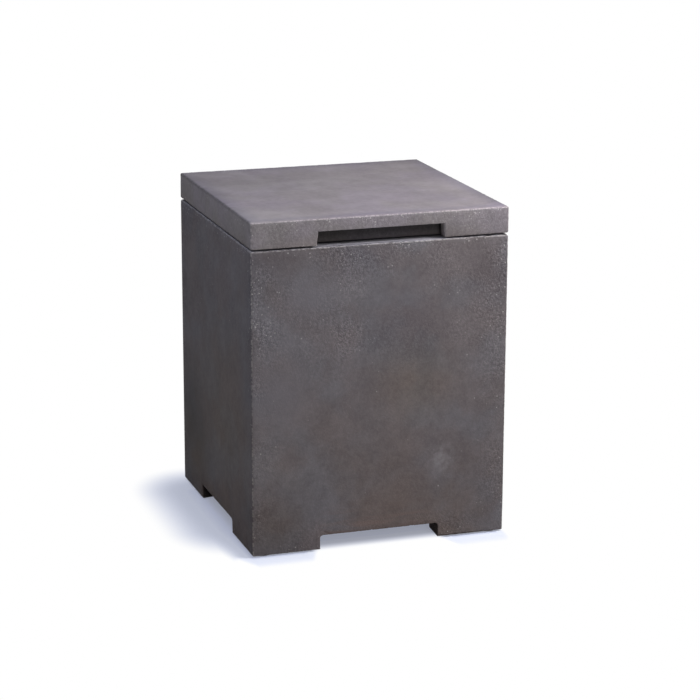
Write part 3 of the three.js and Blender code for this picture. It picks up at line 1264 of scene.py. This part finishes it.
@dataclass
class Lid(CastPiece):
    """The concrete lid: a slab with a finger slot, and a locating rib around a hollow underneath."""

    part: Casting = Casting.LID
    work: Workpiece = field(default_factory=lambda: Workpiece("concrete_lid"))
    inner_corner: float = 11 * MM
    wears: tuple[Wear, ...] = (Wear(0.25 * MM, 7 * MM, 0.30, 0.60), Wear(0.8 * MM, 12 * MM, 0.19, 0.26))
    slab: float = 19 * MM
    rib_inset: float = 45 * MM
    rib_width: float = 14 * MM
    rib_drop: float = 12 * MM
    roof_fillet: float = 6 * MM
    top_arris: float = 3.4 * MM
    under_arris: float = 0.8 * MM
    slot_half_width: float = SLOT_HALF
    slot_height: float = 23 * MM
    slot_depth: float = 26 * MM
    slot_draft: float = 2.5 * MM
    mouth_round: float = 3.8 * MM
    mouth_steps: int = 6

    @property
    def foot(self) -> float:
        """The height of the slab's underside."""
        return self.low.z + self.rib_drop

    def build(self) -> None:
        """Models the lid from one block."""
        self._cast_slab()
        self._round_plan()
        self._fillet_hollow()
        self._cut_slot()
        self._round_arrises()
        self._divide_edges()
        self._wear_edges()

    def _cast_slab(self) -> None:
        """Draws the rib and the hollow out of the underside of a block."""
        work = self.work
        work.start_block(Vector((self.low.x, self.low.y, self.foot)), self.high)
        work.choose_faces(lambda c, n: n.z < -FACING)
        bpy.ops.mesh.inset(thickness=self.rib_inset)
        work.extrude(-self.rib_drop)
        bpy.ops.mesh.inset(thickness=self.rib_width)
        work.extrude(self.high.z - self.slab - self.low.z)

    def _fillet_hollow(self) -> None:
        """Rounds the edge of the hollow's roof."""
        roof = self.high.z - self.slab
        self.work.round_edges(
            lambda a, b: max(abs(a.z - roof), abs(b.z - roof)) < TINY, self.roof_fillet, 4, self.sharp_from
        )

    def _cut_slot(self) -> None:
        """Cuts the finger slot, whose ends lean in towards its roof and whose mouth is rounded."""
        half, front, roof = self.slot_half_width, self.low.y, self.foot + self.slot_height
        foot = self.foot - self.overrun
        cutter = Workpiece("slot_cutter")
        cutter.start_block(
            Vector((-half, front + self.mouth_round, foot)), Vector((half, front + self.slot_depth, roof))
        )
        wide = half + self.slot_draft / self.slot_height * self.overrun
        cutter.choose_faces(lambda c, n: n.z < -FACING)
        bpy.ops.transform.resize(value=(wide / half, 1, 1), center_override=(0, 0, foot))
        cutter.choose_faces(lambda c, n: n.z > FACING)
        bpy.ops.transform.resize(value=((half - self.slot_draft) / half, 1, 1), center_override=(0, 0, roof))
        cutter.choose_faces(lambda c, n: n.y < -FACING)
        behind = self.mouth_round
        for turn in range(1, self.mouth_steps + 1):
            depth = self.mouth_round * (1 - math.sin(math.radians(90 * turn / self.mouth_steps)))
            ends = self._opened(self.mouth_round, depth) - self._opened(self.mouth_round, behind)
            lift = self._opened(self.under_arris, depth) - self._opened(self.under_arris, behind)
            bpy.ops.mesh.extrude_region_move(TRANSFORM_OT_translate={"value": (0, depth - behind, 0)})
            across = 1 + ends / (half + self._opened(self.mouth_round, behind))
            upward = 1 + lift / (roof - foot + self._opened(self.under_arris, behind))
            bpy.ops.transform.resize(value=(across, 1, upward), center_override=(0, 0, foot))
            behind = depth
        bpy.ops.mesh.extrude_region_move(TRANSFORM_OT_translate={"value": (0, -self.overrun, 0)})
        deselect_all()
        self.work.cut_with(cutter)

    def _opened(self, radius: float, depth: float) -> float:
        """Finds how far the rounding of the slot's mouth has opened.

        Args:
            radius: the rounding's radius.
            depth: how far behind the front of the slab.

        Returns:
            The distance from the straight wall behind the rounding.
        """
        if depth >= radius:
            return 0.0
        return radius - math.sqrt(radius**2 - (radius - depth) ** 2)

    def _round_arrises(self) -> None:
        """Rounds the top edge of the slab, its lower edge and the outline of the slot."""
        self._round_top(self.top_arris, 4)
        rib = self.high.x - self.rib_inset + MM
        self.work.round_edges(
            lambda a, b: max(a.z, b.z) < self.foot + TINY
            and min(max(abs(a.x), abs(a.y)), max(abs(b.x), abs(b.y))) > rib,
            self.under_arris, 3, self.sharp_from,
        )

    def _divide_edges(self) -> None:
        """Frames the slab's faces with narrow strips, and divides these and the arrises for their wear."""
        work, high = self.work, self.high
        for spread in self.spreads:
            margin = self.support * spread
            work.slice(self._on_wall, UP * (high.z - self.top_arris - margin), UP)
            for axis in (0, 1):
                normal = Vector((1 - axis, axis, 0))
                for sign in (-1, 1):
                    inner = normal * sign * (high.x - self.corner - margin)
                    work.slice(self._on_wall, inner, normal)
                    work.slice(lambda c, n: c.z > high.z - TINY, inner, normal)
        for axis in (0, 1):
            self._divide_level(axis, self.foot - TINY, TINY)

    def dress(self, finish: CastConcrete) -> None:
        """Gives the lid its finish and its place in the model.

        Args:
            finish: the lid's concrete.
        """
        piece = self._coat(finish)
        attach(piece, "lid_body")
        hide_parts(Casting.LID.value)


@dataclass
class RubberDiscs:
    """The bumpers under the lid and the pads under the feet, which keep their CAD solids."""

    prefixes: tuple[str, ...] = ("lid_bumper_", "foot_pad_")

    def dress(self, finish: MouldedRubber) -> None:
        """Gives every bumper and pad the rubber finish.

        Args:
            finish: the rubber.
        """
        material = finish.build()
        for name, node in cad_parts.items():
            if name.startswith(self.prefixes):
                node.data.materials.clear()
                node.data.materials.append(material)
                log.info("%s: %s", name, finish.name)


@dataclass(frozen=True)
class StudioFinish(Finish):
    """A finish of the studio, which looks one way to the camera and lights the object in another."""

    def _seen_directly(self) -> Socket:
        """Tells the camera's view and its reflections from the light that falls on the object.

        Returns:
            One for a ray from the camera, a mirror or a glass, and nought for light.
        """
        rays = self.add("LightPath").node.outputs
        seen = self.add("Math", (rays["Is Camera Ray"], rays["Is Glossy Ray"]), MOST)
        return self.add("Math", (seen, rays["Is Transmission Ray"]), MOST)


@dataclass(frozen=True)
class WhiteRoom(StudioFinish):
    """Even light from all round, from walls that look white."""

    name: str = "white room"
    output: ClassVar[str] = "OutputWorld"
    light: str = "#f4f5fb"
    strength: float = 0.12

    @cached_property
    def holder(self) -> bpy.types.World:
        """The world that holds the nodes."""
        return bpy.data.worlds.new(self.name)

    def surface(self) -> Socket:
        """Draws the light of the room, and the white walls that the camera sees.

        Returns:
            The shader.
        """
        light = self.add("Background", (self.light, self.strength))
        walls = self.add("Background", (WHITE, 1.0))
        return self.add("MixShader", (self._seen_directly(), light, walls))


@dataclass(frozen=True)
class PaintedFloor(StudioFinish):
    """White floor paint, which looks white except near the object, with its shade, a painted contact shadow
    and glow.
    """

    name: str = "painted studio floor"
    object_half: float = 216 * MM
    paint: str = "#f0f3fc"
    lighting: str = "#8c8989"
    # Painted glow, bluish near the object, that fades the object's shade out farther off
    glow: str = "#e4eaff"
    glow_near: float = 0.33
    glow_reach: Pair = (30 * MM, 125 * MM)
    bleaching: float = 2.0
    # Painted contact shadow next to the object
    painted_contact_shadow: str = "#d6d9ea"
    painted_shadow_reach: float = 20 * MM
    # Where painted light reaches: under the front notch, past the front corners, at the right and the back
    notch_half: float = 101 * MM
    notch_end: float = 28 * MM
    light_under_wall: float = 47 * MM
    light_past_corner: float = 40 * MM
    corner_end: float = 22 * MM
    glancing: float = 0.85
    glancing_from: float = 60 * MM
    glancing_end: float = 42 * MM
    light_past_right: float = 12 * MM
    light_past_back: float = 80 * MM
    weights_right_back: tuple[float, float, float] = (8.0, 0.85, 0.0)
    weights_left_front: tuple[float, float, float] = (1.08, 2.5, 0.0)

    def _glancing(self, across: Socket) -> Socket:
        """Measures how far off the floor beside the front corners counts, under the painted light from in
        front.

        Args:
            across: how far a point lies from the middle, from left to right.

        Returns:
            The distance, as a vector from front to back.
        """
        half = self.object_half
        aside = self.add("MapRange", (across, half, half + self.glancing_end, 0.0, self.glancing))
        ahead = self.add("Math", (self.ways[Way.BACK.value], -1.0, -self.glancing_from), TIMES_PLUS)
        forward = self.add("Math", (ahead, 0.0), MOST)
        return self.add("CombineXYZ", {"Y": self.overlap(forward, aside)})

    def _away_from_object(self) -> Socket:
        """Measures how far a point of the floor lies from the object's footprint.

        It sets the painted contact shadow and the painted glow. The painted shade reaches farthest to the
        left and behind, away from the lamps, so a step to the right or the front counts for more. Painted
        light reaches the floor under the front notch too, and past the front corners.

        Returns:
            The distance in metres, nought under the object.
        """
        half, across = self.object_half, self.ways[Way.ASIDE.value]
        lit, end = half - self.light_under_wall, self.notch_half + self.notch_end
        notch = self.add("MapRange", (across, self.notch_half, end, lit, half), SMOOTH)
        beyond = self.add("MapRange", (across, half, half + self.corner_end, 0.0, self.light_past_corner))
        notched = self.add("CombineXYZ", (half, self.add("Math", (notch, beyond), MINUS), 1.0))
        whole = (half - self.light_past_right, half - self.light_past_back, 1.0)
        opposite = self.add("VectorMath", (self.place, -1.0), {"operation": "SCALE"})
        sides = []
        for point, edges, weights in (
            (self.place, whole, self.weights_right_back), (opposite, notched, self.weights_left_front)
        ):
            over = self.add("VectorMath", (point, edges), MINUS)
            outside = self.add("VectorMath", (over, (0, 0, 0)), MOST)
            sides.append(self.add("VectorMath", (outside, weights), TIMES))
        sides[1] = self.add("VectorMath", (sides[1], self._glancing(across)), MOST)
        spread = self.add("VectorMath", sides, PLUS)
        return self.add("VectorMath", (spread,), {"operation": "LENGTH"})

    def surface(self) -> Socket:
        """Draws the paint with the object's shade and a painted contact shadow on it, and a painted glow
        farther off.

        Returns:
            The shader.
        """
        seen, away = self._seen_directly(), self._away_from_object()
        open_floor = self.add("MapRange", (away, 0.0, self.painted_shadow_reach))
        # Painted contact shadow
        contact_tint = self.add("Mix", (open_floor, self.painted_contact_shadow, WHITE), COVER)
        paint = self.add("Mix", (1.0, self.paint, contact_tint), TINT)
        matt = self.add("BsdfDiffuse", (self.add("Mix", (seen, self.lighting, paint), COVER),))
        # Painted glow, bluish where it is weak, covering the shade farther off
        fade = self.add("MapRange", (away, *self.glow_reach, self.glow_near, 1.0), SMOOTH)
        bleached = self.add("Math", (fade, self.bleaching), {"operation": "POWER"})
        glow = self.add("Emission", (self.add("Mix", (bleached, self.glow, WHITE), COVER), 1.0))
        return self.add("MixShader", (self.overlap(fade, seen), matt, glow))


@dataclass(frozen=True)
class Lamp:
    """A round soft lamp: where it hangs, its diameter, its power in watts and the colour of its light."""

    name: str
    place: tuple[float, float, float]
    size: float
    power: float
    colour: str = WHITE

    def hang(self, target: Vector) -> None:
        """Hangs the lamp and points it at a target.

        Args:
            target: the point that it lights.
        """
        lamp = bpy.data.lights.new(self.name, "AREA")
        lamp.shape = "DISK"
        lamp.size = self.size
        lamp.energy = self.power
        lamp.color = linear(self.colour)[:3]
        hung = bpy.data.objects.new(self.name, lamp)
        hung.location = self.place
        hung.visible_camera = False
        hung.rotation_euler = (target - Vector(self.place)).to_track_quat("-Z", "Y").to_euler()
        bpy.context.scene.collection.objects.link(hung)


@dataclass
class Studio:
    """A white floor, soft lamps at the upper right and left, low ones in front and behind, and the camera."""

    camera_at: tuple[float, float, float] = (-1.2158, -3.6874, 1.3271)
    azimuth: float = 18.527
    elevation: float = 15.182
    roll: float = 0.223
    lens: float = 122.586
    sensor: float = 36.0
    farthest: float = 200.0
    lamps: tuple[Lamp, ...] = (
        Lamp("key", (0.60, -0.43, 1.07), 0.6, 11.5),
        Lamp("front", (0.06, -2.06, 0.56), 1.2, 14.3),
        Lamp("left", (-0.60, -0.28, 1.33), 1.0, 6.4, "#e5edff"),
        Lamp("back", (0.35, 2.00, 0.30), 0.5, 5.0),
    )
    lit_height: float = 216 * MM
    floor_size: float = 60.0

    def build(self) -> None:
        """Sets up the whole studio."""
        self._place_camera()
        for lamp in self.lamps:
            lamp.hang(UP * self.lit_height)
        bpy.context.scene.world = WhiteRoom().build()
        self._lay_floor()
        bpy.context.scene.view_settings.view_transform = "Standard"
        log.info("studio: camera %.1f mm, lamps %s", self.lens, ", ".join(lamp.name for lamp in self.lamps))

    def _place_camera(self) -> None:
        """Puts the camera where the photographer stood."""
        data = bpy.data.cameras.new("camera")
        data.lens = self.lens
        data.sensor_width = self.sensor
        data.clip_end = self.farthest
        camera = bpy.data.objects.new("camera", data)
        bpy.context.scene.collection.objects.link(camera)
        turn = math.radians(self.azimuth)
        dip = math.radians(self.elevation)
        ahead = Vector((math.sin(turn) * math.cos(dip), math.cos(turn) * math.cos(dip), -math.sin(dip)))
        level = ahead.cross(UP).normalized()
        upright = level.cross(ahead)
        tilt = math.radians(self.roll)
        right = level * math.cos(tilt) + upright * math.sin(tilt)
        matrix = Matrix((right, right.cross(ahead), -ahead)).transposed().to_4x4()
        matrix.translation = self.camera_at
        camera.matrix_world = matrix
        bpy.context.scene.camera = camera

    def _lay_floor(self) -> None:
        """Lays the floor."""
        deselect_all()
        bpy.ops.mesh.primitive_plane_add(size=self.floor_size)
        floor = bpy.context.object
        floor.name = "studio_floor"
        floor.data.materials.append(PaintedFloor().build())
        deselect_all()


def main() -> None:
    """Builds and dresses every piece and sets up the studio."""
    logging.basicConfig(level=logging.INFO, format="%(name)s: %(message)s")
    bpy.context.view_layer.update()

    shell = Shell()
    shell.build()
    shell.dress(RawRimConcrete("grey_cast_concrete", shell.high.x, shell.foot, shell.high.z))
    lid = Lid()
    lid.build()
    lid.dress(TrowelledConcrete("grey_trowelled_concrete", lid.high.x, lid.foot, lid.high.z))
    RubberDiscs().dress(MouldedRubber())
    Studio().build()


if __name__ == "__main__":
    main()
